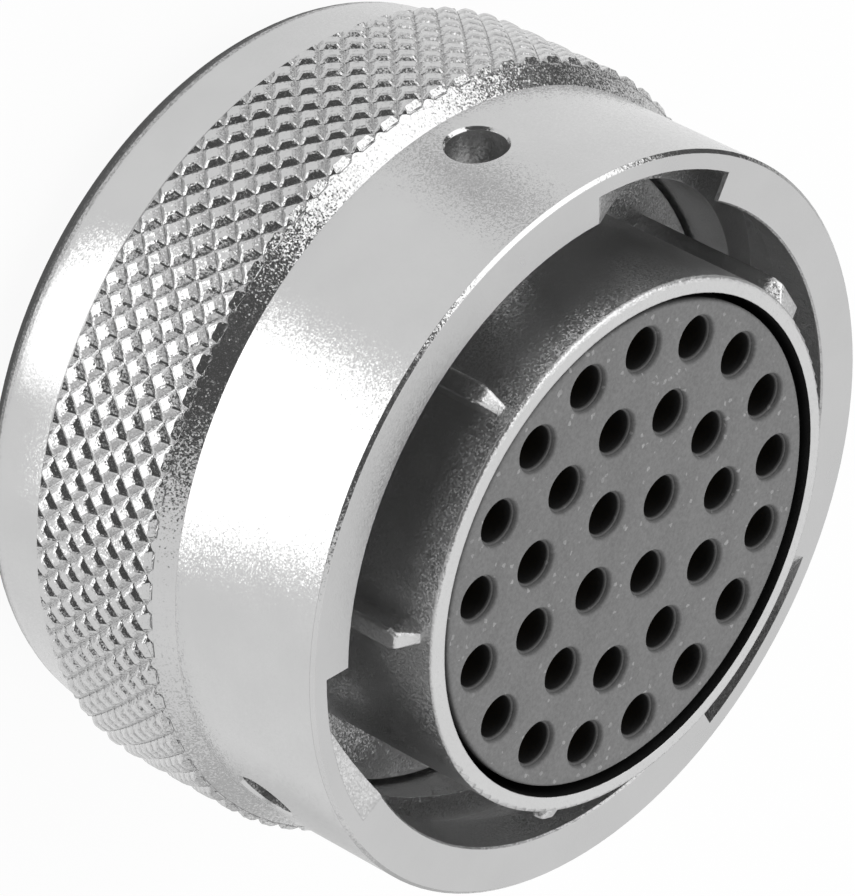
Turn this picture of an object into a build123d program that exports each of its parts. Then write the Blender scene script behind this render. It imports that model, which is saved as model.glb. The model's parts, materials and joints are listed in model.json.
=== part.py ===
"""Straight circular plug with a bayonet coupling ring, in millimetres.

The plug stands on the flat rear end of its shell. +Z runs along the mating axis, towards the face
that meets the receptacle, and +Y points at the wide master key. Angles are counted from +X,
counter-clockwise for someone who looks at the mating face.
"""
import math
import os

from build123d import *

# Contact layout: three circles of cavities, each with the angle of its first one
outer_circle_r = 8.99
middle_circle_r = 5.77
inner_circle_r = 2.41
outer_count = 17
middle_count = 11
inner_count = 4
outer_first_angle = 143.5
middle_first_angle = 123.2
inner_first_angle = 90.8
cavity_r = 0.9
mouth_r = 1.05
mouth_depth = 0.25

# Insert and contacts
insert_margin = 1.73
insert_gap = 0.38
insert_shoulder_length = 6.9
insert_shoulder_clearance = 0.1
contact_clearance = 0.02
contact_recess = 2.0
contact_tail = 2.7
socket_bore_r = 0.51
socket_bore_depth = 6.0
cup_bore_r = 0.62
cup_depth = 2.0
cup_opening = 1.4

# Plug shell
barrel_length = 9.8
barrel_wall = 0.7
rim_above_insert = 0.2
rim_round = 0.2
insert_seat_width = 1.1
insert_seat_depth = 0.8
flange_overlap = 0.9
flange_thickness = 1.6
land_length = 1.0
land_clearance = 0.2
rear_wall = 1.1
journal_spare = 0.35
thread_rise = 0.19
thread_length = 7.9
thread_chamfer = 0.5

# Keys on the barrel
master_key_angle = 90.0
master_key_width = 2.45
minor_key_width = 0.93
minor_key_offsets = (95.1, 143.8, 222.0, 265.0)
key_height = 1.0
key_setback = 0.7
key_slope_length = 0.45
key_taper_length = 0.85
key_nose_share = 0.5

# Coupling ring, outside
ring_below_rim = 2.15
ring_length = 19.25
ring_chamfer = 0.15
ring_wall = 0.83
ring_barrel_length = 7.66
shoulder_length = 1.04
grip_rise = 0.9
knurl_count = 76
knurl_pitch = 1.45
knurl_half_rows = 9
knurl_depth = 0.44
grip_chamfer = 0.5
rear_band_step = 0.06
rear_round_r = 1.8
rear_round_length = 1.525

# Coupling ring, inside
nose_space = 2.5
bore_lead_in = 0.08
ring_play = 0.25

# Bayonet grooves and detent holes
groove_count = 3
first_detent_angle = 152.5
detent_below_face = 5.5
detent_r = 1.275
groove_width = 2.5
groove_depth = 1.3
groove_turn_angle = 99.0
groove_rise = 4.7
lead_in_angle = 16.6
lead_in_rise = 2.05
notch_start_angle = 85.3

# Washers and retaining ring behind the flange
wave_height = 1.45
wave_thickness = 0.35
wave_count = 4
wave_clearance = 0.05
wave_bore_clearance = 0.26
wave_rim_clearance = 0.45
thrust_thickness = 0.6
thrust_bore_clearance = 0.11
thrust_rim_clearance = 0.25
retaining_thickness = 0.95
retaining_bore_clearance = 0.51
retaining_gap_angle = 10.0
retaining_groove_depth = 0.65
retaining_groove_clearance = 0.05

# Radii that follow, from the contacts outwards
insert_r = outer_circle_r + insert_margin
barrel_bore_r = insert_r + insert_gap
barrel_r = barrel_bore_r + barrel_wall
rear_bore_r = barrel_bore_r + insert_seat_width
journal_r = rear_bore_r + rear_wall
thread_r = journal_r + thread_rise
ring_bore_r = barrel_r + nose_space
groove_floor_r = ring_bore_r + groove_depth
ring_barrel_r = groove_floor_r + ring_wall
grip_r = ring_barrel_r + grip_rise
rear_band_r = ring_barrel_r - rear_band_step
land_r = ring_bore_r - land_clearance
flange_r = ring_bore_r + flange_overlap
recess_r = flange_r + ring_play
retaining_groove_r = recess_r + retaining_groove_depth

# Heights that follow, from the rear end of the shell upwards
retaining_low_z = thread_length + journal_spare
thrust_low_z = retaining_low_z + retaining_thickness
thrust_top_z = thrust_low_z + thrust_thickness
flange_rear_z = thrust_top_z + wave_clearance + wave_height
flange_front_z = flange_rear_z + flange_thickness
land_top_z = flange_front_z + land_length
insert_seat_z = flange_front_z - insert_seat_depth
insert_rear_z = insert_seat_z - insert_shoulder_length
rim_z = flange_front_z + barrel_length
insert_face_z = rim_z - rim_above_insert
ring_face_z = rim_z - ring_below_rim
ring_rear_z = ring_face_z - ring_length
detent_z = ring_face_z - detent_below_face


def turned(*points):
    """Solid of revolution about Z from (radius, height) corners."""
    return revolve(Plane.XZ * make_face(Polyline(*points, close=True)), Axis.Z)


def washer(inner_r, outer_r, low_z, high_z):
    """Flat ring between two heights."""
    return extrude(Pos(0, 0, low_z) * (Circle(outer_r) - Circle(inner_r)), high_z - low_z)


def sector(start, end, radius, low_z, high_z):
    """Wedge about Z between two angles, with a blunt outer edge past the radius."""
    middle = math.radians((start + end) / 2)
    reach = radius / math.cos(math.radians((end - start) / 2))
    corners = [
        (reach * math.cos(math.radians(angle)), reach * math.sin(math.radians(angle)))
        for angle in (start, end)
    ]
    tip = (reach * math.cos(middle), reach * math.sin(middle))
    outline = make_face(Polyline((0, 0), corners[0], tip, corners[1], close=True))
    return extrude(Pos(0, 0, low_z) * outline, high_z - low_z)


# Plug shell: one turned piece with five keys milled on its barrel
def key(angle, width):
    """Key with a sloping nose that also narrows towards the front."""
    root_r = barrel_r - barrel_wall / 2
    top_r = barrel_r + key_height
    nose_z = rim_z - key_setback
    slope_end_z = nose_z - key_slope_length
    taper_end_z = nose_z - key_taper_length
    side_view = make_face(
        Polyline(
            (root_r, land_top_z),
            (top_r, land_top_z),
            (top_r, slope_end_z),
            (barrel_r, nose_z),
            (root_r, nose_z),
            close=True,
        )
    )
    half = width / 2
    tip = half * key_nose_share
    front_view = make_face(
        Polyline(
            (-half, land_top_z),
            (half, land_top_z),
            (half, taper_end_z),
            (tip, nose_z),
            (-tip, nose_z),
            (-half, taper_end_z),
            close=True,
        )
    )
    bar = extrude(Plane.XZ * side_view, width, both=True)
    blank = extrude(Plane.YZ * front_view, ring_bore_r)
    return Rot(0, 0, angle) * (bar & blank)


def plug_shell():
    body = turned(
        (barrel_bore_r, rim_z),
        (barrel_r, rim_z),
        (barrel_r, land_top_z),
        (land_r, land_top_z),
        (land_r, flange_front_z),
        (flange_r, flange_front_z),
        (flange_r, flange_rear_z),
        (journal_r, flange_rear_z),
        (journal_r, thread_length),
        (thread_r, thread_length - thread_rise),
        (thread_r, thread_chamfer),
        (thread_r - thread_chamfer, 0),
        (rear_bore_r, 0),
        (rear_bore_r, insert_seat_z),
        (barrel_bore_r, insert_seat_z),
    )
    rim_edge = body.edges().filter_by(GeomType.CIRCLE).group_by(Axis.Z)[-1].sort_by(SortBy.RADIUS)[-1]
    body = fillet(rim_edge, rim_round)
    body += key(master_key_angle, master_key_width)
    for offset in minor_key_offsets:
        body += key(master_key_angle + offset, minor_key_width)
    return body


# Coupling ring: turned, then three bayonet grooves are milled in its bore
def screwed_bar(start, turn, start_z, rise, low, high):
    """Bar across the groove's wall that climbs as it goes round, from low to high about its path."""
    inner = ring_bore_r - groove_depth
    outer = groove_floor_r + groove_depth
    section = Pos((inner + outer) / 2, (low + high) / 2) * Rectangle(outer - inner, high - low)
    path = Helix(pitch=rise * 360 / turn, height=rise, radius=ring_bore_r)
    bar = sweep(Plane.XZ * section, path=path, is_frenet=True)
    return Pos(0, 0, start_z) * Rot(0, 0, start) * bar


def bayonet_groove(detent_angle):
    """Channel from its detent hole up to the notch in the ring's face where a pin comes in."""
    half = groove_width / 2
    junction = detent_angle + groove_turn_angle
    junction_floor_z = detent_z + groove_rise - half
    channel = screwed_bar(detent_angle, groove_turn_angle, detent_z, groove_rise, -half, half)
    lead_in = screwed_bar(junction, lead_in_angle, junction_floor_z, lead_in_rise, 0, 2 * groove_width)
    notch_floor_z = detent_z + groove_rise * notch_start_angle / groove_turn_angle
    notch = sector(
        detent_angle + notch_start_angle,
        junction + lead_in_angle / 8,
        grip_r,
        notch_floor_z,
        ring_face_z + groove_width,
    )
    band = Pos(0, 0, detent_z) * Cylinder(groove_floor_r, 2 * ring_length)
    return (channel + lead_in + notch) & band


def detent_hole(angle):
    """Round hole through the wall at the groove's lower end."""
    wall = grip_r - ring_bore_r
    drill = Rot(0, 90, 0) * Cylinder(detent_r, 2 * wall)
    return Rot(0, 0, angle) * Pos(ring_bore_r + wall / 2, 0, detent_z) * drill


def knurl_cutter(low_z):
    """Tube whose bore is a net of planar facets: what it leaves of the grip is rows of pyramids."""
    half_pitch = knurl_pitch / 2
    columns = 2 * knurl_count
    rows = knurl_half_rows + math.ceil(shoulder_length / half_pitch)
    outer_r = grip_r + grip_rise

    def corner(column, row):
        radius = grip_r if (column + row) % 2 == 0 else grip_r - knurl_depth
        angle = 2 * math.pi * column / columns
        return radius * math.cos(angle), radius * math.sin(angle), low_z + row * half_pitch

    facets = []
    for column in range(columns):
        for row in range(rows):
            first, second = corner(column, row), corner(column + 1, row)
            third, fourth = corner(column + 1, row + 1), corner(column, row + 1)
            if (column + row) % 2 == 0:
                triangles = (first, second, fourth), (second, third, fourth)
            else:
                triangles = (first, second, third), (first, third, fourth)
            for triangle in triangles:
                facets.append(Face(Wire.make_polygon(triangle, close=True)))
    top_z = low_z + rows * half_pitch
    for row, end_z in ((0, low_z), (rows, top_z)):
        rim = Pos(0, 0, end_z) * Circle(outer_r).wire()
        bore = Wire.make_polygon([corner(column, row) for column in range(columns)], close=True)
        facets.append(Face(rim, [bore]))
    wall = Cylinder(outer_r, top_z - low_z).faces().filter_by(GeomType.CYLINDER)[0]
    facets.append(Pos(0, 0, (low_z + top_z) / 2) * wall)
    return Solid(Shell(facets))


def coupling_ring():
    barrel_end_z = ring_face_z - ring_barrel_length
    grip_top_z = barrel_end_z - shoulder_length
    grip_end_z = grip_top_z - knurl_half_rows * knurl_pitch / 2
    band_end_z = ring_rear_z + rear_round_length
    round_end_r = rear_band_r - rear_round_r + math.sqrt(rear_round_r**2 - rear_round_length**2)
    outside = Polyline(
        (ring_bore_r + bore_lead_in, ring_face_z),
        (ring_barrel_r - ring_chamfer, ring_face_z),
        (ring_barrel_r, ring_face_z - ring_chamfer),
        (ring_barrel_r, barrel_end_z),
        (grip_r, grip_top_z),
        (grip_r, grip_end_z + grip_chamfer),
        (grip_r - grip_chamfer, grip_end_z),
        (rear_band_r, grip_end_z),
        (rear_band_r, band_end_z),
    )
    rounding = RadiusArc((rear_band_r, band_end_z), (round_end_r, ring_rear_z), rear_round_r)
    inside = Polyline(
        (round_end_r, ring_rear_z),
        (recess_r, ring_rear_z),
        (recess_r, retaining_low_z - retaining_groove_clearance),
        (retaining_groove_r, retaining_low_z - retaining_groove_clearance),
        (retaining_groove_r, thrust_low_z),
        (recess_r, thrust_low_z),
        (recess_r, flange_front_z),
        (ring_bore_r, flange_front_z),
        (ring_bore_r, ring_face_z - bore_lead_in),
        (ring_bore_r + bore_lead_in, ring_face_z),
    )
    ring = revolve(Plane.XZ * make_face(outside + rounding + inside), Axis.Z)
    for step in range(groove_count):
        angle = first_detent_angle + step * 360 / groove_count
        ring -= bayonet_groove(angle)
        ring -= detent_hole(angle)
    return ring - knurl_cutter(grip_end_z)


# Wave washer: spring steel strip that presses the coupling ring back against the flange
def wave_washer():
    swing = (wave_height - wave_thickness) / 2
    steps = 4 * wave_count

    def wavy_edge(radius):
        corners = []
        for step in range(steps):
            angle = 2 * math.pi * step / steps
            lift = swing * math.cos(wave_count * angle)
            corners.append((radius * math.cos(angle), radius * math.sin(angle), lift))
        return Spline(*corners, periodic=True)

    inner_edge = wavy_edge(thread_r + wave_bore_clearance).edge()
    outer_edge = wavy_edge(recess_r - wave_rim_clearance).edge()
    sheet = Face.make_surface_from_curves(inner_edge, outer_edge)
    strip = extrude(sheet, wave_thickness, dir=(0, 0, 1))
    return Pos(0, 0, thrust_top_z + wave_clearance + swing) * strip


# Thrust washer: flat steel ring between the wave washer and the retaining ring
def thrust_washer():
    inner_r = thread_r + thrust_bore_clearance
    outer_r = recess_r - thrust_rim_clearance
    return washer(inner_r, outer_r, thrust_low_z, thrust_top_z)


# Retaining ring: split steel ring that snaps into the groove inside the coupling ring
def retaining_ring():
    inner_r = thread_r + retaining_bore_clearance
    outer_r = retaining_groove_r - retaining_groove_clearance
    half_gap = retaining_gap_angle / 2
    gap = sector(-half_gap, half_gap, grip_r, ring_rear_z, flange_rear_z)
    return washer(inner_r, outer_r, retaining_low_z, thrust_low_z) - gap


# Insert: moulded insulator with a shoulder that seats on the step inside the shell
def cavity_places(radius, count, first_angle):
    """Centres of one circle of cavities, clockwise from the first."""
    places = []
    for step in range(count):
        angle = math.radians(first_angle - step * 360 / count)
        places.append((radius * math.cos(angle), radius * math.sin(angle)))
    return places


cavities = {
    "outer": cavity_places(outer_circle_r, outer_count, outer_first_angle),
    "middle": cavity_places(middle_circle_r, middle_count, middle_first_angle),
    "inner": cavity_places(inner_circle_r, inner_count, inner_first_angle),
}


def insert():
    """Layers from the rear: shoulder, body, and the front skin where each cavity's mouth is wider."""
    mouth_floor_z = insert_face_z - mouth_depth
    layers = (
        (rear_bore_r - insert_shoulder_clearance, cavity_r, insert_rear_z, insert_seat_z),
        (insert_r, cavity_r, insert_seat_z, mouth_floor_z),
        (insert_r, mouth_r, mouth_floor_z, insert_face_z),
    )
    body = None
    for layer_r, hole_r, low_z, high_z in layers:
        outline = Circle(layer_r)
        for places in cavities.values():
            for x, y in places:
                outline -= Pos(x, y) * Circle(hole_r)
        layer = extrude(Pos(0, 0, low_z) * outline, high_z - low_z)
        body = layer if body is None else body + layer
    return body


# Contacts: turned copper sockets, held in the insert
def contact(x, y):
    """Turned rod, bored in front for a pin and behind for a wire, with the wire's cup cut open."""
    contact_r = cavity_r - contact_clearance
    top_z = insert_face_z - contact_recess
    low_z = insert_rear_z - contact_tail
    rod = turned(
        (0, low_z + cup_depth),
        (cup_bore_r, low_z + cup_depth),
        (cup_bore_r, low_z),
        (contact_r, low_z),
        (contact_r, top_z),
        (socket_bore_r, top_z),
        (socket_bore_r, top_z - socket_bore_depth),
        (0, top_z - socket_bore_depth),
    )
    opening = Pos(0, contact_r, low_z + cup_opening / 2) * Box(2 * contact_r, 2 * contact_r, cup_opening)
    return Pos(x, y, 0) * (rod - opening)


os.makedirs("parts", exist_ok=True)
pieces = {
    "plug_shell": plug_shell(),
    "coupling_ring": coupling_ring(),
    "wave_washer": wave_washer(),
    "thrust_washer": thrust_washer(),
    "retaining_ring": retaining_ring(),
    "insert": insert(),
}
for circle, places in cavities.items():
    for number, (x, y) in enumerate(places, start=1):
        pieces[f"{circle}_contact_{number:02d}"] = contact(x, y)
for name, piece in pieces.items():
    export_step(piece, f"parts/{name}.step")
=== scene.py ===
import json
import math

import bmesh
import bpy
import numpy as np
from mathutils import Matrix, Vector

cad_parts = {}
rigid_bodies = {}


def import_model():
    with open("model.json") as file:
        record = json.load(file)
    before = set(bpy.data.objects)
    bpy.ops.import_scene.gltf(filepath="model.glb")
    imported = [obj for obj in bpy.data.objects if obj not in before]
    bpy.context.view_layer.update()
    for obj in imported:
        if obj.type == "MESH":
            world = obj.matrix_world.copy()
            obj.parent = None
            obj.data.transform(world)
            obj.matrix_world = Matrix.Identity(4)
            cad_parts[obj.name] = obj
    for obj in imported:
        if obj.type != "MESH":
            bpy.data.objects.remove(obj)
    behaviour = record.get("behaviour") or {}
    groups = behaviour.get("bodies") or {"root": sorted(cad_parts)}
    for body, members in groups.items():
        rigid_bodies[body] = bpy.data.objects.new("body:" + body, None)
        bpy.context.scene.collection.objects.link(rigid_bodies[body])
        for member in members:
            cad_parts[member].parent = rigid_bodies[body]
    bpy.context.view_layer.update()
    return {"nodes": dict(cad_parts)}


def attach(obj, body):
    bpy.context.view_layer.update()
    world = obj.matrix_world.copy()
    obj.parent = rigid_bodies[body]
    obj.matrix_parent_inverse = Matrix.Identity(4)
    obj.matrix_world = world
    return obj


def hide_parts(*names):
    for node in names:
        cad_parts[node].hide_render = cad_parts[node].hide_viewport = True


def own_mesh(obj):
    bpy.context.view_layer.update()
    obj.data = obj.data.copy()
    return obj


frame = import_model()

# View and studio
# The photograph looks down on the mating face from one side, through a long lens, with the plug's
# axis tipped to the right of the picture. The plug stands on a white table with a painted glow.
MM = 0.001
PHOTO_WIDTH = 855
LENS_PX = 7100
SENSOR_MM = 36
NEAREST_SEEN = 10 * MM
CAMERA_AT = (-230.039, -70.941, 182.827)
CAMERA_RIGHT = Vector((0.36015738, 0.58662384, 0.72536827))
CAMERA_UP = Vector((-0.514002, 0.77366259, -0.37047017))

view_x = CAMERA_RIGHT.normalized()
view_z = view_x.cross(CAMERA_UP).normalized()
view_y = view_z.cross(view_x)
camera_data = bpy.data.cameras.new("photo_view")
camera_data.sensor_fit = "HORIZONTAL"
camera_data.sensor_width = SENSOR_MM
camera_data.lens = LENS_PX / PHOTO_WIDTH * SENSOR_MM
camera_data.clip_start = NEAREST_SEEN
camera = bpy.data.objects.new("photo_view", camera_data)
camera.matrix_world = Matrix.Translation(Vector(CAMERA_AT) * MM) @ Matrix(
    (view_x, view_y, view_z)
).transposed().to_4x4()
bpy.context.scene.collection.objects.link(camera)
bpy.context.scene.camera = camera
bpy.context.scene.view_settings.view_transform = "Standard"


def srgb(hex_text):
    """Linear colour from an sRGB hex value such as "#C8C7C4"."""
    levels = (int(hex_text[place:place + 2], 16) / 255 for place in (1, 3, 5))
    return tuple(v / 12.92 if v < 0.04045 else ((v + 0.055) / 1.055) ** 2.4 for v in levels) + (1,)


def add(tree, kind, settings, inputs):
    """Adds a node, with its properties set and each input set or linked."""
    node = tree.nodes.new(kind)
    for name, value in settings.items():
        setattr(node, name, value)
    for name, value in inputs.items():
        socket = node.inputs[name]
        if isinstance(value, bpy.types.NodeSocket):
            tree.links.new(value, socket)
        else:
            socket.default_value = value
    return node


def patch(tree, vector, middle, inner, outer):
    """1 within the inner distance of a middle point, fading to 0 at the outer distance."""
    away = add(tree, "ShaderNodeVectorMath", {"operation": "DISTANCE"}, {0: vector, 1: middle})
    fade = {"Value": away.outputs["Value"], "From Min": outer, "From Max": inner}
    return add(tree, "ShaderNodeMapRange", {"interpolation_type": "SMOOTHSTEP"}, fade).outputs[0]


def patched(tree, vector, base, patches):
    """A level that starts from a base and goes to each patch's own level inside it."""
    level = base
    for middle, inner, outer, patch_level in patches:
        share = patch(tree, vector, middle, inner, outer)
        level = add(tree, "ShaderNodeMix", {}, {0: share, 2: level, 3: patch_level}).outputs[0]
    return level


# The sky is a white tent that fades towards its foot, with a bright overhead panel, a dark corner
# and a wide dark opening for the camera. Each patch of it has the azimuth and elevation of its
# middle, how far it reaches before it fades and where it ends, in degrees, and its level.
TENT_LEVEL = 1.0
TENT_FOOT_LEVEL = 0.62
TENT_FOOT_FROM = 6
TENT_FOOT_TO = 17
OVERHEAD_PANEL = ((112, 46), 26, 34, 1.95)
DARK_CORNER = ((71, 13), 14, 29, 0.10)
CAMERA_OPENING_LOW = ((199, 18), 31, 45, 0.08)
CAMERA_OPENING_HIGH = ((200, 42), 24, 33, 0.09)
TENT_PATCHES = (OVERHEAD_PANEL, DARK_CORNER, CAMERA_OPENING_LOW, CAMERA_OPENING_HIGH)


def toward(azimuth, elevation):
    """Unit vector to a place in the tent."""
    across = math.cos(math.radians(elevation))
    return (
        across * math.cos(math.radians(azimuth)),
        across * math.sin(math.radians(azimuth)),
        math.sin(math.radians(elevation)),
    )


def chord(degrees):
    """Straight distance between two unit vectors that are so many degrees apart."""
    return 2 * math.sin(math.radians(degrees) / 2)


world = bpy.data.worlds.new("white_tent")
bpy.context.scene.world = world
world.use_nodes = True
tree = world.node_tree
tree.nodes.clear()
way = add(tree, "ShaderNodeTexCoord", {}, {}).outputs["Generated"]
height = add(tree, "ShaderNodeSeparateXYZ", {}, {"Vector": way}).outputs["Z"]
base = add(tree, "ShaderNodeMapRange", {"interpolation_type": "SMOOTHSTEP"}, {
    "Value": height,
    "From Min": math.sin(math.radians(TENT_FOOT_FROM)),
    "From Max": math.sin(math.radians(TENT_FOOT_TO)),
    "To Min": TENT_FOOT_LEVEL, "To Max": TENT_LEVEL,
}).outputs[0]
tent = patched(tree, way, base, [
    (toward(*middle), chord(inner), chord(outer), level)
    for middle, inner, outer, level in TENT_PATCHES
])
path = add(tree, "ShaderNodeLightPath", {}, {})
seen = add(tree, "ShaderNodeMix", {}, {0: path.outputs["Is Camera Ray"], 2: tent, 3: 1.0}).outputs[0]
sky = add(tree, "ShaderNodeBackground", {}, {"Color": (1, 1, 1, 1), "Strength": seen})
add(tree, "ShaderNodeOutputWorld", {}, {"Surface": sky.outputs[0]})

# The table's glow is painted: the camera sees it evenly white, reflections see its patches, and it
# lights nothing. In reflections it is brightest round the plug and in painted pools of light, dimmer
# far away, with painted shade at the plug's foot and underneath it. Each patch of it has its middle,
# how far it reaches before it fades and where it ends, and its level.
TABLE_HALF = 600 * MM
TABLE_DROP = 0.02 * MM
TABLE_SHARE = 0.94
TABLE_FAR_LEVEL = 0.60
ROUND_THE_PLUG = ((0, 0, 0), 0.055, 0.080, 1.0)
DIM_TO_THE_RIGHT = ((0.025, -0.019, 0), 0.006, 0.016, 0.70)
# Painted pools of light, which show only in reflections
PAINTED_LIGHT_POOL = ((-0.034, -0.022, 0), 0.014, 0.0185, 2.6)
PAINTED_LIGHT_POOL_NEAR = ((-0.0235, -0.0095, 0), 0.0045, 0.0065, 2.6)
PAINTED_LIGHT_POOL_SIDE = ((-0.0165, -0.0235, 0), 0.0045, 0.0065, 2.6)
PAINTED_LIGHT_POOL_EDGE = ((-0.020, -0.0108, 0), 0.003, 0.006, 2.2)
DIM_BEHIND = ((-0.027, 0.0265, 0), 0.002, 0.008, 0.5)
# Painted shade at the plug's foot and underneath it, which shows only in reflections
SHADE_AT_THE_FOOT = ((0, 0, 0), 0.0160, 0.0173, 0.6)
SHADE_UNDERNEATH = ((-0.002, 0, 0), 0.0145, 0.0162, 0.12)
TABLE_PATCHES = (
    ROUND_THE_PLUG, DIM_TO_THE_RIGHT, PAINTED_LIGHT_POOL, PAINTED_LIGHT_POOL_NEAR, PAINTED_LIGHT_POOL_SIDE, PAINTED_LIGHT_POOL_EDGE,
    DIM_BEHIND, SHADE_AT_THE_FOOT, SHADE_UNDERNEATH,
)
bpy.ops.mesh.primitive_plane_add(size=2 * TABLE_HALF, location=(0, 0, -TABLE_DROP))
table = bpy.context.object
table.name = "light_table"
# The painted glow: even white to the camera, patchy in reflections, and lighting nothing
glow = bpy.data.materials.new("table_painted_glow")
glow.use_nodes = True
tree = glow.node_tree
tree.nodes.clear()
place = add(tree, "ShaderNodeTexCoord", {}, {}).outputs["Object"]
level = patched(tree, place, TABLE_FAR_LEVEL, TABLE_PATCHES)
path = add(tree, "ShaderNodeLightPath", {}, {})
mirrored = add(tree, "ShaderNodeMix", {}, {0: path.outputs["Is Camera Ray"], 2: level, 3: 1.0})
seen = add(
    tree, "ShaderNodeMath", {"operation": "ADD", "use_clamp": True},
    {0: path.outputs["Is Camera Ray"], 1: path.outputs["Is Glossy Ray"]},
)
share = add(tree, "ShaderNodeMath", {"operation": "MULTIPLY"}, {0: seen.outputs[0], 1: TABLE_SHARE})
matte = add(tree, "ShaderNodeBsdfDiffuse", {}, {"Color": srgb("#F6F6F6")})
lit = add(tree, "ShaderNodeEmission", {}, {"Color": (1, 1, 1, 1), "Strength": mirrored.outputs[0]})
mixed = add(
    tree, "ShaderNodeMixShader", {}, {0: share.outputs[0], 1: matte.outputs[0], 2: lit.outputs[0]}
)
add(tree, "ShaderNodeOutputMaterial", {}, {"Surface": mixed.outputs[0]})
glow.cycles.emission_sampling = "NONE"
table.data.materials.append(glow)

# Coupling ring
# The outer ring that the hand turns. Turned from aluminium bar, knurled, milled inside with three
# bayonet grooves, then bead blasted and nickel plated, which leaves a fine sparkling grain.
TOLERANCE = 0.01 * MM
DOUBLED = 0.0005 * MM
SAME_LEVEL = 1e-9
ON_THE_AXIS_R = 1 * MM
TURNED_SWAY = 0.06
SHARP_DEGREES = 12
CLOUD_MM = 3.0
CLOUD_SPAN = (0.3, 0.7)
CLOUD_TONES = (0.97, 1.02)
CLOUD_ROUGHNESS = (0.9, 1.1)
# The dents of blasting are 0.02 to 0.05 mm across. They are drawn 0.07 mm across so as to show, and so
# is the waviness that they leave, which has a grain of 0.1 mm.
DENT_MM = 0.07

BARREL_R = 16.43 * MM
BARREL_END_Z = 12.89 * MM
GRIP_R = 17.33 * MM
GRIP_TOP_Z = 11.85 * MM
GRIP_END_Z = 5.325 * MM
GRIP_CHAMFER = 0.5 * MM
ROOT_R = 17.11 * MM
FLOOR_DROP = 0.03 * MM
FACE_Z = 20.55 * MM
BORE_SIDE_R = 15.7 * MM
DETENT_ANGLES = (152.5, 272.5, 32.5)
DETENT_Z = 15.05 * MM
DETENT_R = 1.275 * MM
DETENT_CHAMFER = 0.11 * MM
DETENT_CHAMFER_DEPTH = DETENT_CHAMFER * 1.5
OUTSIDE, BORE, GRIP, FACE = range(4)

KNURL_COUNT = 76
KNURL_ROWS = 11
KNURL_PITCH = 1.45 * MM
KNURL_FLOOR_SHARE = 0.03
KNURL_TOP_SHARE = 0.62
KNURL_PIT_SHARES = (0.38, 0.24, 0.10)
KNURL_DOME = 0.044 * MM
KNURL_PIT = 0.014 * MM
KNURL_PIT_RIM = KNURL_PIT / 3
KNURL_RIDGE = 0.10 * MM
KNURL_SKIRT = 0.07 * MM
KNURL_CORNERS = ((1, 0), (0, 1), (-1, 0), (0, -1))
CUT_PROUD = 0.003 * MM
WEAR = 0.03 * MM
WEAR_DEPTH = 0.1 * MM
WEAR_GRAIN = 0.25 * MM
WEAR_FROM = 0.3
WEAR_SEED = 7
SHOULDER_SLOPE = (GRIP_R - BARREL_R) / (BARREL_END_Z - GRIP_TOP_Z)


def plated(name, colour, roughness, grain_mm, grain_height_mm, edge_mm, glint):
    """Blasted and nickel-plated metal: even grey with a fine grain, and glints where dents tip it."""
    material = bpy.data.materials.new(name)
    material.use_nodes = True
    tree = material.node_tree
    tree.nodes.clear()
    place = add(tree, "ShaderNodeTexCoord", {}, {}).outputs["Object"]
    grain = add(
        tree, "ShaderNodeTexNoise", {},
        {"Vector": place, "Scale": 1 / (grain_mm * MM), "Detail": 1.0, "Roughness": 0.5},
    ).outputs["Fac"]
    edge = add(tree, "ShaderNodeBevel", {"samples": 4}, {"Radius": edge_mm * MM}).outputs[0]
    bump = add(
        tree, "ShaderNodeBump", {},
        {"Height": grain, "Distance": grain_height_mm * MM, "Strength": 1.0, "Normal": edge},
    ).outputs[0]
    dents = add(tree, "ShaderNodeTexVoronoi", {}, {
        "Vector": place, "Scale": 1 / (DENT_MM * MM), "Randomness": 1.0,
    }).outputs["Color"]
    # Each dent's random colour, less its middle value, is the way in which that dent tips
    tip = add(tree, "ShaderNodeVectorMath", {"operation": "SUBTRACT"}, {0: dents, 1: (0.5, 0.5, 0.5)})
    tip = add(tree, "ShaderNodeVectorMath", {"operation": "SCALE"}, {0: tip.outputs[0], "Scale": glint})
    tipped = add(tree, "ShaderNodeVectorMath", {"operation": "ADD"}, {0: bump, 1: tip.outputs[0]})
    tipped = add(tree, "ShaderNodeVectorMath", {"operation": "NORMALIZE"}, {0: tipped.outputs[0]})
    cloud = add(
        tree, "ShaderNodeTexNoise", {},
        {"Vector": place, "Scale": 1 / (CLOUD_MM * MM), "Detail": 3.0, "Roughness": 0.55},
    ).outputs["Fac"]
    tone = add(tree, "ShaderNodeMapRange", {}, {
        "Value": cloud, "From Min": CLOUD_SPAN[0], "From Max": CLOUD_SPAN[1],
        "To Min": CLOUD_TONES[0], "To Max": CLOUD_TONES[1],
    }).outputs[0]
    base = srgb(colour)
    tinted = add(tree, "ShaderNodeVectorMath", {"operation": "SCALE"}, {0: base[:3], "Scale": tone})
    rough = add(tree, "ShaderNodeMapRange", {}, {
        "Value": cloud, "From Min": CLOUD_SPAN[0], "From Max": CLOUD_SPAN[1],
        "To Min": roughness * CLOUD_ROUGHNESS[0], "To Max": roughness * CLOUD_ROUGHNESS[1],
    }).outputs[0]
    shader = add(tree, "ShaderNodeBsdfPrincipled", {}, {
        "Base Color": tinted.outputs[0], "Metallic": 1.0, "Roughness": rough,
        "Normal": tipped.outputs[0],
    })
    add(tree, "ShaderNodeOutputMaterial", {}, {"Surface": shader.outputs[0]})
    return material


# Four finishes of one plating. The outside of the barrel reflects the tent softly, with a fine glitter.
ring_nickel = plated(
    "blasted_nickel_plate", "#C8C8C8", roughness=0.18,
    grain_mm=0.10, grain_height_mm=0.007, edge_mm=0.04, glint=0.13,
)
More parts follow.
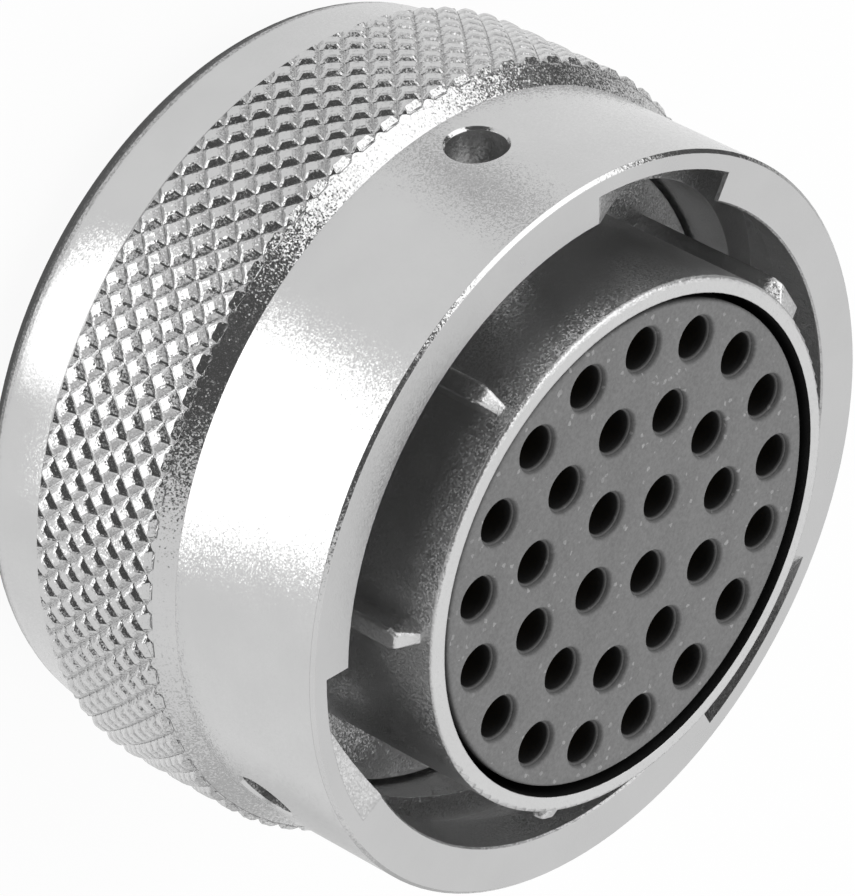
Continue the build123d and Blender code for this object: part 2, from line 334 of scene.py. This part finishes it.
# The face is blasted more lightly, so it is flatter and more even to the eye than the barrel
face_nickel = plated(
    "blasted_nickel_on_the_face", "#C4C4C4", roughness=0.30,
    grain_mm=0.10, grain_height_mm=0.006, edge_mm=0.04, glint=0.05,
)
# The grip and its shoulder are the grainiest places, and break reflections up into bright and dark dots
grip_nickel = plated(
    "blasted_nickel_on_the_grip", "#C8C8C8", roughness=0.19,
    grain_mm=0.10, grain_height_mm=0.010, edge_mm=0.015, glint=0.25,
)
# Blasting reaches the bore at a slant, which leaves it duller, so it only shows soft light and shade.
# Its darker colour is painted shade, also given to the walls of the detent holes
bore_nickel_painted_shade = plated(
    "blasted_nickel_with_painted_shade_in_the_bore", "#BCBCBC", roughness=0.40,
    grain_mm=0.12, grain_height_mm=0.01, edge_mm=0.05, glint=0.3,
)


def merged_copy(node):
    """An editable copy of a CAD node's mesh, with its doubled corners merged."""
    mesh = bmesh.new()
    mesh.from_mesh(frame["nodes"][node].data)
    bmesh.ops.remove_doubles(mesh, verts=mesh.verts, dist=DOUBLED)
    return mesh


def edges_at(edges, level):
    """Those of some edges that lie flat at one level."""
    return [edge for edge in edges if all(abs(v.co.z - level) < SAME_LEVEL for v in edge.verts)]


def extruded(mesh, edges):
    """New edges and new corners grown from some edges, not yet moved."""
    grown = bmesh.ops.extrude_edge_only(mesh, edges=edges)["geom"]
    return (
        [item for item in grown if isinstance(item, bmesh.types.BMEdge)],
        [item for item in grown if isinstance(item, bmesh.types.BMVert)],
    )


def drawn_out(mesh, edges, middle, profile):
    """Carries a round loop of edges about a middle through a list of radii and heights."""
    for radius, height in profile:
        edges, corners = extruded(mesh, edges)
        for corner in corners:
            x, y = corner.co.x - middle[0], corner.co.y - middle[1]
            reach = radius / math.hypot(x, y)
            corner.co = (middle[0] + x * reach, middle[1] + y * reach, height)
        edges = edges_at(edges, height)
    return edges


def corner_normals(mesh, sharp_degrees):
    """Smooth normals within a sharp angle, and exact ones on faces that were turned about Z."""
    mesh.shade_smooth()
    mesh.set_sharp_from_angle(angle=math.radians(sharp_degrees))
    normals = np.array([corner.vector for corner in mesh.corner_normals])
    for face in mesh.polygons:
        radius = math.hypot(face.center.x, face.center.y)
        if radius < ON_THE_AXIS_R:
            continue
        across = (face.normal.y * face.center.x - face.normal.x * face.center.y) / radius
        if abs(across) > TURNED_SWAY:
            continue
        outward = (face.normal.x * face.center.x + face.normal.y * face.center.y) / radius
        size = math.hypot(outward, face.normal.z)
        for loop in face.loop_indices:
            corner = mesh.vertices[mesh.loops[loop].vertex_index].co
            reach = math.hypot(corner.x, corner.y)
            normals[loop] = (
                outward / size * corner.x / reach,
                outward / size * corner.y / reach,
                face.normal.z / size,
            )
    mesh.normals_split_custom_set(normals.tolist())


def finished(name, mesh, materials, body, slot, *replaced):
    """Puts a mesh in the scene as a piece that rides on a body and stands for CAD nodes."""
    piece = bpy.data.objects.new(name, mesh)
    bpy.context.scene.collection.objects.link(piece)
    earlier = list(mesh.materials)
    kinds = [
        materials.index(earlier[face.material_index]) if any(earlier) else face.material_index
        for face in mesh.polygons
    ]
    mesh.materials.clear()
    for material in materials:
        mesh.materials.append(material)
    mesh.polygons.foreach_set("material_index", kinds)
    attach(piece, body)
    if replaced:
        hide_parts(*replaced)
    return piece


# The ring's own surface, with the grip cut back to the floor of the knurl
ring_mesh = merged_copy("coupling_ring")
knurled = []
for face in ring_mesh.faces:
    middle = face.calc_center_median()
    on_grip = GRIP_END_Z - TOLERANCE < middle.z < BARREL_END_Z - TOLERANCE
    if on_grip and math.hypot(middle.x, middle.y) > BARREL_R - TOLERANCE:
        knurled.append(face)
bmesh.ops.delete(ring_mesh, geom=knurled, context="FACES")
grip_middle_z = (GRIP_TOP_Z + GRIP_END_Z) / 2
rims = [edge for edge in ring_mesh.edges if edge.is_boundary]
upper = [edge for edge in rims if edge.verts[0].co.z > grip_middle_z]
lower = [edge for edge in rims if edge.verts[0].co.z < grip_middle_z]
floor_r = ROOT_R - FLOOR_DROP
root_top_z = BARREL_END_Z - (floor_r - BARREL_R) / SHOULDER_SLOPE
chamfer_r = GRIP_R - GRIP_CHAMFER
low_edges = drawn_out(ring_mesh, upper, (0, 0), (
    (floor_r, root_top_z), (floor_r, GRIP_END_Z + floor_r - chamfer_r), (chamfer_r, GRIP_END_Z),
))
bmesh.ops.bridge_loops(ring_mesh, edges=low_edges + lower)


# The three detent holes, drilled through the barrel's wall and broken at their outer edge
def from_axis(spot, start, out):
    """The part of a spot's place that lies across a line from a start in one direction."""
    return spot - start - out * out.dot(spot - start)


for angle in DETENT_ANGLES:
    out = Vector((math.cos(math.radians(angle)), math.sin(math.radians(angle)), 0))
    start = Vector((0, 0, DETENT_Z))
    wall = [
        face for face in ring_mesh.faces
        if all(abs(from_axis(v.co, start, out).length - DETENT_R) < TOLERANCE for v in face.verts)
        and out.dot(face.verts[0].co) > 0
    ]
    around = dict.fromkeys(edge for face in wall for edge in face.edges)
    around.update(dict.fromkeys(v for face in wall for v in face.verts))
    bmesh.ops.bisect_plane(
        ring_mesh, geom=wall + list(around), plane_no=out, dist=TOLERANCE / 10,
        plane_co=out * (BARREL_R - DETENT_CHAMFER_DEPTH) + start,
    )
    for corner in ring_mesh.verts:
        across = from_axis(corner.co, start, out)
        on_rim = abs(math.hypot(corner.co.x, corner.co.y) - BARREL_R) < TOLERANCE
        if on_rim and out.dot(corner.co) > 0 and abs(across.length - DETENT_R) < TOLERANCE:
            corner.co += across.normalized() * DETENT_CHAMFER
            reach = BARREL_R / math.hypot(corner.co.x, corner.co.y)
            corner.co = (corner.co.x * reach, corner.co.y * reach, corner.co.z)
bmesh.ops.recalc_face_normals(ring_mesh, faces=ring_mesh.faces)
ring_data = bpy.data.meshes.new("coupling_ring_finished")
ring_mesh.to_mesh(ring_data)
ring_mesh.free()
corner_normals(ring_data, SHARP_DEGREES)
for face in ring_data.polygons:
    reach = math.hypot(face.center.x, face.center.y)
    in_bore = reach < BORE_SIDE_R and face.center.z < FACE_Z - TOLERANCE
    in_hole = reach < BARREL_R - DETENT_CHAMFER and abs(face.center.z - DETENT_Z) < DETENT_R
    # The bore and the walls of the detent holes take the plating darkened with painted shade
    if in_bore or in_hole:
        face.material_index = BORE
    elif GRIP_END_Z - TOLERANCE < face.center.z < BARREL_END_Z and reach > BARREL_R + TOLERANCE:
        face.material_index = GRIP
    elif face.center.z > FACE_Z - TOLERANCE:
        face.material_index = FACE
    else:
        face.material_index = OUTSIDE

# One point of the knurl for each row: a low pyramid with blunt ridges, domed on top with a shallow pit
# in the middle. The rows at either end are cut by the shoulder's cone and by the rear chamfer.
height = GRIP_R - ROOT_R
half_around = math.pi * GRIP_R / KNURL_COUNT * (1 - KNURL_FLOOR_SHARE)
half_along = KNURL_PITCH / 2 * (1 - KNURL_FLOOR_SHARE)
dome_share, rim_share, pit_share = KNURL_PIT_SHARES
point_levels = (
    (1, -KNURL_SKIRT), (1, 0), (KNURL_TOP_SHARE, height - KNURL_DOME), (dome_share, height),
    (rim_share, height - KNURL_PIT_RIM), (pit_share, height - KNURL_PIT),
)
rows = bpy.data.collections.new("knurl_rows")
for number in range(KNURL_ROWS):
    point_mesh = bmesh.new()
    loops = []
    for share, rise in point_levels:
        loops.append([
            point_mesh.verts.new((
                ROOT_R + rise, around * half_around * share, along * half_along * share,
            ))
            for around, along in KNURL_CORNERS
        ])
    sides = range(len(KNURL_CORNERS))
    for lower_loop, upper_loop in zip(loops, loops[1:]):
        for side in sides:
            point_mesh.faces.new((
                lower_loop[side - 1], lower_loop[side], upper_loop[side], upper_loop[side - 1],
            ))
    point_mesh.faces.new(loops[-1])
    ridges = [point_mesh.edges.get((loops[1][side], loops[2][side])) for side in sides]
    bmesh.ops.bevel(
        point_mesh, geom=ridges, offset=KNURL_RIDGE, segments=2, profile=0.5, affect="EDGES",
        clamp_overlap=True,
    )
    bmesh.ops.recalc_face_normals(point_mesh, faces=point_mesh.faces)
    if sum(face.normal.x for face in point_mesh.faces) < 0:
        bmesh.ops.reverse_faces(point_mesh, faces=point_mesh.faces)
    level = GRIP_END_Z + number * KNURL_PITCH / 2
    for start_z, slope in (
        (GRIP_TOP_Z + CUT_PROUD - level, SHOULDER_SLOPE),
        (GRIP_END_Z + GRIP_CHAMFER - level, -1),
    ):
        cut = bmesh.ops.bisect_plane(
            point_mesh, geom=point_mesh.verts[:] + point_mesh.edges[:] + point_mesh.faces[:],
            plane_co=(GRIP_R, 0, start_z), plane_no=(1, 0, slope), clear_outer=True, dist=DOUBLED,
        )["geom_cut"]
        line = sorted((v for v in cut if isinstance(v, bmesh.types.BMVert)), key=lambda v: v.co.y)
        if len(line) > 2:
            cap = point_mesh.faces.new(line)
            cap.normal_update()
            if cap.normal.x < 0:
                cap.normal_flip()
    point_data = bpy.data.meshes.new("knurl_row_%02d" % number)
    point_mesh.to_mesh(point_data)
    point_mesh.free()
    rows.objects.link(bpy.data.objects.new("knurl_row_%02d" % number, point_data))


def node_tree(name, kind, sockets):
    """An empty geometry tree with its named inputs, a geometry output, and where to find them."""
    group = bpy.data.node_groups.new(name, kind)
    group.interface.new_socket("Geometry", in_out="OUTPUT", socket_type="NodeSocketGeometry")
    places = {}
    for label, socket_kind in sockets.items():
        socket = group.interface.new_socket(label, in_out="INPUT", socket_type=socket_kind)
        places[label] = socket.identifier
    return group, group.nodes.new("NodeGroupInput").outputs, places


def math_of(group, operation, first, second=0.0):
    """Result of one sum on two numbers."""
    return add(group, "ShaderNodeMath", {"operation": operation}, {0: first, 1: second}).outputs[0]


# The rows of points round the grip. Each row starts half a pitch on from the last
knurl, given, places = node_tree("diamond_knurl", "GeometryNodeTree", {
    "Row shapes": "NodeSocketCollection", "Count": "NodeSocketInt", "Rows": "NodeSocketInt",
    "Pitch": "NodeSocketFloat", "Low end": "NodeSocketFloat", "Grip radius": "NodeSocketFloat",
    "Wear": "NodeSocketFloat", "Seed": "NodeSocketInt",
    "Metal": "NodeSocketMaterial",
})
total = math_of(knurl, "MULTIPLY", given["Count"], given["Rows"])
cloud = add(knurl, "GeometryNodePoints", {}, {"Count": total})
index = add(knurl, "GeometryNodeInputIndex", {}, {}).outputs[0]
past_index = math_of(knurl, "ADD", index, 0.5)
row = math_of(knurl, "FLOOR", math_of(knurl, "DIVIDE", past_index, given["Count"]))
odd = math_of(knurl, "MODULO", row, 2.0)
column = math_of(knurl, "ADD", index, math_of(knurl, "MULTIPLY", odd, 0.5))
angle = math_of(knurl, "MULTIPLY", math_of(knurl, "DIVIDE", column, given["Count"]), 2 * math.pi)
half_pitch = math_of(knurl, "MULTIPLY", given["Pitch"], 0.5)
level = math_of(knurl, "ADD", math_of(knurl, "MULTIPLY", row, half_pitch), given["Low end"])
raised = add(knurl, "ShaderNodeCombineXYZ", {}, {"Z": level}).outputs[0]
placed = add(knurl, "GeometryNodeSetPosition", {}, {"Geometry": cloud.outputs[0], "Position": raised})
turned = add(knurl, "ShaderNodeCombineXYZ", {}, {"Z": angle}).outputs[0]
shapes = add(knurl, "GeometryNodeCollectionInfo", {}, {
    "Collection": given["Row shapes"], "Separate Children": True, "Reset Children": True,
}).outputs[0]
stamped = add(knurl, "GeometryNodeInstanceOnPoints", {}, {
    "Points": placed.outputs[0], "Instance": shapes, "Pick Instance": True, "Instance Index": row,
    "Rotation": turned,
}).outputs[0]
solid = add(knurl, "GeometryNodeRealizeInstances", {}, {"Geometry": stamped}).outputs[0]
# The tops are dented a little by use: their corners move in towards the axis by an uneven amount
spot = add(knurl, "GeometryNodeInputPosition", {}, {}).outputs[0]
parts = add(knurl, "ShaderNodeSeparateXYZ", {}, {"Vector": spot}).outputs
flat = add(knurl, "ShaderNodeCombineXYZ", {}, {"X": parts["X"], "Y": parts["Y"]}).outputs[0]
reach = add(knurl, "ShaderNodeVectorMath", {"operation": "LENGTH"}, {0: flat}).outputs["Value"]
uneven = add(knurl, "ShaderNodeTexNoise", {"noise_dimensions": "4D"}, {
    "Vector": spot, "W": given["Seed"], "Scale": 1 / WEAR_GRAIN, "Detail": 1.0,
}).outputs["Fac"]
over = math_of(knurl, "MAXIMUM", math_of(knurl, "SUBTRACT", uneven, WEAR_FROM), 0.0)
dent = math_of(knurl, "MULTIPLY", over, given["Wear"])
worn_from_r = math_of(knurl, "SUBTRACT", given["Grip radius"], WEAR_DEPTH)
on_top = math_of(knurl, "GREATER_THAN", reach, worn_from_r)
scale = math_of(knurl, "DIVIDE", math_of(knurl, "MULTIPLY", dent, -1.0), reach)
inward = add(knurl, "ShaderNodeVectorMath", {"operation": "SCALE"}, {0: flat, "Scale": scale})
worn = add(knurl, "GeometryNodeSetPosition", {}, {
    "Geometry": solid, "Selection": on_top, "Offset": inward.outputs[0],
})
dressed = add(knurl, "GeometryNodeSetMaterial", {}, {
    "Geometry": worn.outputs[0], "Material": given["Metal"],
}).outputs[0]
add(knurl, "NodeGroupOutput", {}, {"Geometry": dressed})

host = bpy.data.objects.new("knurl", bpy.data.meshes.new("knurl"))
bpy.context.scene.collection.objects.link(host)
rolled = host.modifiers.new("diamond_knurl", "NODES")
rolled.node_group = knurl
for label, value in {
    "Row shapes": rows, "Count": KNURL_COUNT, "Rows": KNURL_ROWS, "Pitch": KNURL_PITCH,
    "Low end": GRIP_END_Z, "Grip radius": GRIP_R, "Wear": WEAR, "Seed": WEAR_SEED,
    "Metal": grip_nickel,
}.items():
    rolled[places[label]] = value
bpy.context.view_layer.update()
knurl_data = bpy.data.meshes.new_from_object(host.evaluated_get(bpy.context.evaluated_depsgraph_get()))
bpy.data.objects.remove(host)
for shape in list(rows.objects):
    bpy.data.objects.remove(shape)
bpy.data.collections.remove(rows)
finished(
    "coupling_ring_finished", ring_data, (ring_nickel, bore_nickel_painted_shade, grip_nickel, face_nickel),
    "coupling", "ring_nickel", "coupling_ring",
)
finished("knurl_points", knurl_data, (grip_nickel,), "coupling", "ring_nickel")

# Plug shell
# The fixed barrel with the keys, and behind it the thread for a rear accessory. One piece turned from
# aluminium bar, its keys milled, blasted more coarsely than the ring and nickel plated, so it looks
# whiter and grainier.
THREAD_R = 13.49 * MM
THREAD_START_Z = 0.5 * MM
THREAD_END_Z = 7.71 * MM
THREAD_MIDDLE_Z = (THREAD_START_Z + THREAD_END_Z) / 2
THREAD_PITCH = 25.4 / 18 * MM
THREAD_DEPTH = 0.8 * MM
THREAD_ROWS = 60
THREAD_CREST = 0.15
THREAD_FLOOR = 0.25
THREAD_RUN_OUT = 0.4 * MM
UPRIGHT = 0.1
KEY_LOW_R = 11.85 * MM
KEY_HIGH_R = 12.9 * MM
KEY_LOW_Z = 13.95 * MM
KEY_TOP_Z = 22.05 * MM
KEY_EDGE = 0.14 * MM
KEY_FLAT_DEGREES = 1
KEY_EDGE_DEGREES = 30
SHELL_BORE_R = 11.15 * MM
SHELL_RIM_Z = 22.6 * MM
SHELL_OUTSIDE, SHELL_BORE = range(2)

# Coarse blasting gives the shell a pale, grainy look with soft reflections
shell_nickel = plated(
    "blasted_nickel_on_the_shell", "#D0D0D0", roughness=0.34,
    grain_mm=0.10, grain_height_mm=0.008, edge_mm=0.07, glint=0.26,
)
# The bore behind the rim takes a very dark copy of the plating, painted shade that makes the gap
# round the insert look dark
shell_bore_painted_shade = plated(
    "shell_bore_painted_shade_behind_the_rim", "#454545", roughness=0.50,
    grain_mm=0.10, grain_height_mm=0.006, edge_mm=0.02, glint=0.10,
)

# The thread. Its wall is drawn up in level rows, and each corner stands as far in as the thread does
# at that height and angle, less near its two ends, where it runs out.
shell_mesh = merged_copy("plug_shell")
rear_wall = []
for face in shell_mesh.faces:
    middle = face.calc_center_median()
    at_thread = abs(math.hypot(middle.x, middle.y) - THREAD_R) < 2 * TOLERANCE
    if at_thread and abs(face.normal.z) < UPRIGHT and middle.z < THREAD_END_Z:
        rear_wall.append(face)
bmesh.ops.delete(shell_mesh, geom=rear_wall, context="FACES")
open_edges = [edge for edge in shell_mesh.edges if edge.is_boundary]
below = [edge for edge in open_edges if edge.verts[0].co.z < THREAD_MIDDLE_Z]
above = [edge for edge in open_edges if edge.verts[0].co.z > THREAD_MIDDLE_Z]
turn = below
for row in range(1, THREAD_ROWS):
    level = THREAD_START_Z + (THREAD_END_Z - THREAD_START_Z) * row / THREAD_ROWS
    from_end = min(level - THREAD_START_Z, THREAD_END_Z - level) / THREAD_RUN_OUT
    turn, corners = extruded(shell_mesh, turn)
    for corner in corners:
        around = math.atan2(corner.co.y, corner.co.x)
        turns = (level - THREAD_START_Z) / THREAD_PITCH - around / (2 * math.pi)
        share = abs(2 * (turns % 1) - 1)
        cut = min(max((share - THREAD_CREST) / (1 - THREAD_CREST - THREAD_FLOOR), 0), 1)
        radius = THREAD_R - THREAD_DEPTH * cut * min(from_end, 1)
        corner.co = (radius * math.cos(around), radius * math.sin(around), level)
    turn = edges_at(turn, level)
bmesh.ops.bridge_loops(shell_mesh, edges=turn + above)

# The keys, whose edges the blasting has rounded
on_keys = []
for face in shell_mesh.faces:
    middle = face.calc_center_median()
    if KEY_LOW_Z < middle.z < KEY_TOP_Z and KEY_LOW_R < math.hypot(middle.x, middle.y) < KEY_HIGH_R:
        on_keys.append(face)
key_edges = dict.fromkeys(edge for face in on_keys for edge in face.edges)
flat_edges = [
    edge for edge in key_edges
    if len(edge.link_faces) == 2 and edge.calc_face_angle() < math.radians(KEY_FLAT_DEGREES)
]
bmesh.ops.dissolve_edges(shell_mesh, edges=flat_edges, use_verts=True)
blunt = []
for edge in shell_mesh.edges:
    middle = (edge.verts[0].co + edge.verts[1].co) / 2
    reach = math.hypot(middle.x, middle.y)
    if KEY_LOW_R < reach < KEY_HIGH_R and KEY_LOW_Z < middle.z < KEY_TOP_Z:
        if len(edge.link_faces) == 2 and edge.calc_face_angle() > math.radians(KEY_EDGE_DEGREES):
            blunt.append(edge)
bmesh.ops.bevel(
    shell_mesh, geom=blunt, offset=KEY_EDGE, segments=3, profile=0.5, affect="EDGES",
    clamp_overlap=False,
)
bmesh.ops.recalc_face_normals(shell_mesh, faces=shell_mesh.faces)
shell_data = bpy.data.meshes.new("plug_shell_finished")
shell_mesh.to_mesh(shell_data)
shell_mesh.free()
corner_normals(shell_data, SHARP_DEGREES)
for face in shell_data.polygons:
    # Faces in the bore behind the rim take the painted shade
    inside = math.hypot(face.center.x, face.center.y) < SHELL_BORE_R and face.center.z < SHELL_RIM_Z
    face.material_index = SHELL_BORE if inside else SHELL_OUTSIDE
finished(
    "plug_shell_finished", shell_data, (shell_nickel, shell_bore_painted_shade), "plug", "shell_nickel",
    "plug_shell",
)

# Insert
# The insulator that holds the contacts, moulded in matte grey plastic. Each cavity has a rounded
# mouth and a small ledge where the bore proper starts, and painted shade darkens its depth.
SKIN_SPAN = (0.3, 0.7)
SKIN_TONES = (0.84, 1.16)
SKIN_HEIGHT = 0.012 * MM
FLECK_FROM = 0.975
# How far the painted glints brighten the lightest specks
FLECK_PAINTED_GLINT_LEVEL = 1.9
SHADE_FROM = 0.36 * MM
SHADE_TO = 0.16 * MM
INSERT_R = 10.72 * MM
INSERT_EDGE = 0.15 * MM
INSERT_EDGE_STEPS = (30, 60, 90)
INSERT_FACE_Z = 22.5 * MM
INSERT_SHOULDER_R = 12.1 * MM
INSERT_SEAT_Z = 12.1 * MM
INSERT_REAR_Z = 5.2 * MM
INSERT_SEGMENTS = 144
INSERT_SHARP_DEGREES = 40
CAVITY_R = 0.9 * MM
CAVITY_SEGMENTS = 40
# Radius of each circle of cavities, how many are on it, and the angle of its first
CAVITY_CIRCLES = ((8.99 * MM, 17, 143.5), (5.77 * MM, 11, 123.2), (2.41 * MM, 4, 90.8))
# Radii and depths down a mouth in millimetres, round its lip, down to the ledge and into the bore
MOUTH = (
    (1.11, -0.02), (1.07, -0.06), (1.05, -0.12), (1.03, -0.24), (0.955, -0.26), (0.93, -0.30),
    (0.92, -0.7),
)
MOUTH_RIM_R = 1.16 * MM


def moulded(name, colour, painted_shade_colour, roughness, face_z, speck_mm):
    """Matte moulded plastic with fine specks, and painted shade that darkens it a little below its
    face.
    """
    material = bpy.data.materials.new(name)
    material.use_nodes = True
    tree = material.node_tree
    tree.nodes.clear()
    place = add(tree, "ShaderNodeTexCoord", {}, {}).outputs["Object"]
    skin = add(
        tree, "ShaderNodeTexNoise", {},
        {"Vector": place, "Scale": 1 / (speck_mm * MM), "Detail": 3.0, "Roughness": 0.65},
    ).outputs["Fac"]
    bump = add(
        tree, "ShaderNodeBump", {}, {"Height": skin, "Distance": SKIN_HEIGHT, "Strength": 1.0}
    ).outputs[0]
    tone = add(tree, "ShaderNodeMapRange", {}, {
        "Value": skin, "From Min": SKIN_SPAN[0], "From Max": SKIN_SPAN[1],
        "To Min": SKIN_TONES[0], "To Max": SKIN_TONES[1],
    }).outputs[0]
    flecks = add(tree, "ShaderNodeTexVoronoi", {}, {"Vector": place, "Scale": 1 / (speck_mm * MM)})
    fleck = add(tree, "ShaderNodeSeparateColor", {}, {"Color": flecks.outputs["Color"]}).outputs[0]
    # The lightest specks are brightened as painted glints
    painted_glint = add(tree, "ShaderNodeMapRange", {}, {
        "Value": fleck, "From Min": FLECK_FROM, "From Max": 1.0, "To Min": 1.0, "To Max": FLECK_PAINTED_GLINT_LEVEL,
    }).outputs[0]
    tone = add(tree, "ShaderNodeMath", {"operation": "MULTIPLY"}, {0: tone, 1: painted_glint}).outputs[0]
    # Painted shade: below its face the plastic fades to near black, down the cavities and round its
    # sides
    height = add(tree, "ShaderNodeSeparateXYZ", {}, {"Vector": place}).outputs["Z"]
    depth = add(tree, "ShaderNodeMapRange", {}, {
        "Value": height, "From Min": face_z - SHADE_FROM, "From Max": face_z - SHADE_TO,
        "To Min": 1.0, "To Max": 0.0,
    }).outputs[0]
    pigment_with_painted_shade = add(tree, "ShaderNodeMix", {"data_type": "RGBA"}, {
        0: depth, 6: srgb(colour), 7: srgb(painted_shade_colour),
    }).outputs[2]
    tinted = add(tree, "ShaderNodeVectorMath", {"operation": "SCALE"}, {0: pigment_with_painted_shade, "Scale": tone})
    shader = add(tree, "ShaderNodeBsdfPrincipled", {}, {
        "Base Color": tinted.outputs[0], "Roughness": roughness, "Normal": bump,
    })
    add(tree, "ShaderNodeOutputMaterial", {}, {"Surface": shader.outputs[0]})
    return material


def ring_of_edges(mesh, middle, radius, height, segments):
    """A closed round loop of edges about an upright axis."""
    corners = []
    for step in range(segments):
        angle = 2 * math.pi * step / segments
        corners.append(mesh.verts.new((
            middle[0] + radius * math.cos(angle), middle[1] + radius * math.sin(angle), height,
        )))
    return [mesh.edges.new((corners[step - 1], corners[step])) for step in range(segments)]


# The filler in the plastic shows as specks in its matte skin, and a few are brightened as painted
# glints
# Its second colour, near black, is the painted shade below the face
insert_plastic = moulded(
    "moulded_insulator", "#757575", "#0B0B0B", roughness=0.6, face_z=INSERT_FACE_Z, speck_mm=0.16,
)
cavities = []
for radius, count, first in CAVITY_CIRCLES:
    for step in range(count):
        angle = math.radians(first + 360 * step / count)
        cavities.append((radius * math.cos(angle), radius * math.sin(angle)))
insert_mesh = bmesh.new()
edge_r = INSERT_R - INSERT_EDGE
outside = ring_of_edges(insert_mesh, (0, 0), edge_r, INSERT_FACE_Z, INSERT_SEGMENTS)
mouths = [
    ring_of_edges(insert_mesh, middle, MOUTH_RIM_R, INSERT_FACE_Z, CAVITY_SEGMENTS)
    for middle in cavities
]
bmesh.ops.triangle_fill(
    insert_mesh, use_beauty=True, edges=outside + [edge for loop in mouths for edge in loop],
    normal=(0, 0, 1),
)
bores = []
for middle, loop in zip(cavities, mouths):
    profile = [(radius * MM, INSERT_FACE_Z + depth * MM) for radius, depth in MOUTH]
    bores += drawn_out(insert_mesh, loop, middle, profile + [(CAVITY_R, INSERT_REAR_Z)])
rounding = [
    (edge_r + INSERT_EDGE * math.sin(angle), INSERT_FACE_Z - INSERT_EDGE * (1 - math.cos(angle)))
    for angle in map(math.radians, INSERT_EDGE_STEPS)
]
foot = drawn_out(insert_mesh, outside, (0, 0), rounding + [
    (INSERT_R, INSERT_SEAT_Z), (INSERT_SHOULDER_R, INSERT_SEAT_Z), (INSERT_SHOULDER_R, INSERT_REAR_Z),
])
bmesh.ops.triangle_fill(insert_mesh, use_beauty=True, edges=foot + bores, normal=(0, 0, -1))
bmesh.ops.recalc_face_normals(insert_mesh, faces=insert_mesh.faces)
insert_data = bpy.data.meshes.new("insert_finished")
insert_mesh.to_mesh(insert_data)
insert_mesh.free()
insert_data.shade_smooth()
insert_data.set_sharp_from_angle(angle=math.radians(INSERT_SHARP_DEGREES))
finished("insert_finished", insert_data, (insert_plastic,), "plug", "insert_plastic", "insert")

# Contacts
# The sockets, turned from copper alloy and gold plated. They sit 2 mm deep in their cavities, where
# the insert holds them, so hardly any light reaches them.

# Gold over copper alloy is smooth and warm, with next to no grain
contact_gold = plated(
    "gold_plated_copper", "#D9B45A", roughness=0.25,
    grain_mm=0.2, grain_height_mm=0.002, edge_mm=0.03, glint=0.0,
)
for node, piece in frame["nodes"].items():
    if "_contact_" in node:
        piece.data.materials.clear()
        piece.data.materials.append(contact_gold)

# Rolled sheet steel is a darker, plainer grey than the plating, with next to no grain
steel = plated(
    "stamped_spring_steel", "#A9A8A6", roughness=0.3,
    grain_mm=0.3, grain_height_mm=0.003, edge_mm=0.03, glint=0.0,
)
for node in ("thrust_washer", "retaining_ring"):
    frame["nodes"][node].data.materials.clear()
    frame["nodes"][node].data.materials.append(steel)
wave_mesh = merged_copy("wave_washer")
wave_data = bpy.data.meshes.new("wave_washer_finished")
wave_mesh.to_mesh(wave_data)
wave_mesh.free()
corner_normals(wave_data, SHARP_DEGREES)
wave = finished("wave_washer_finished", wave_data, (steel,), "plug", "spring_steel", "wave_washer")
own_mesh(wave)
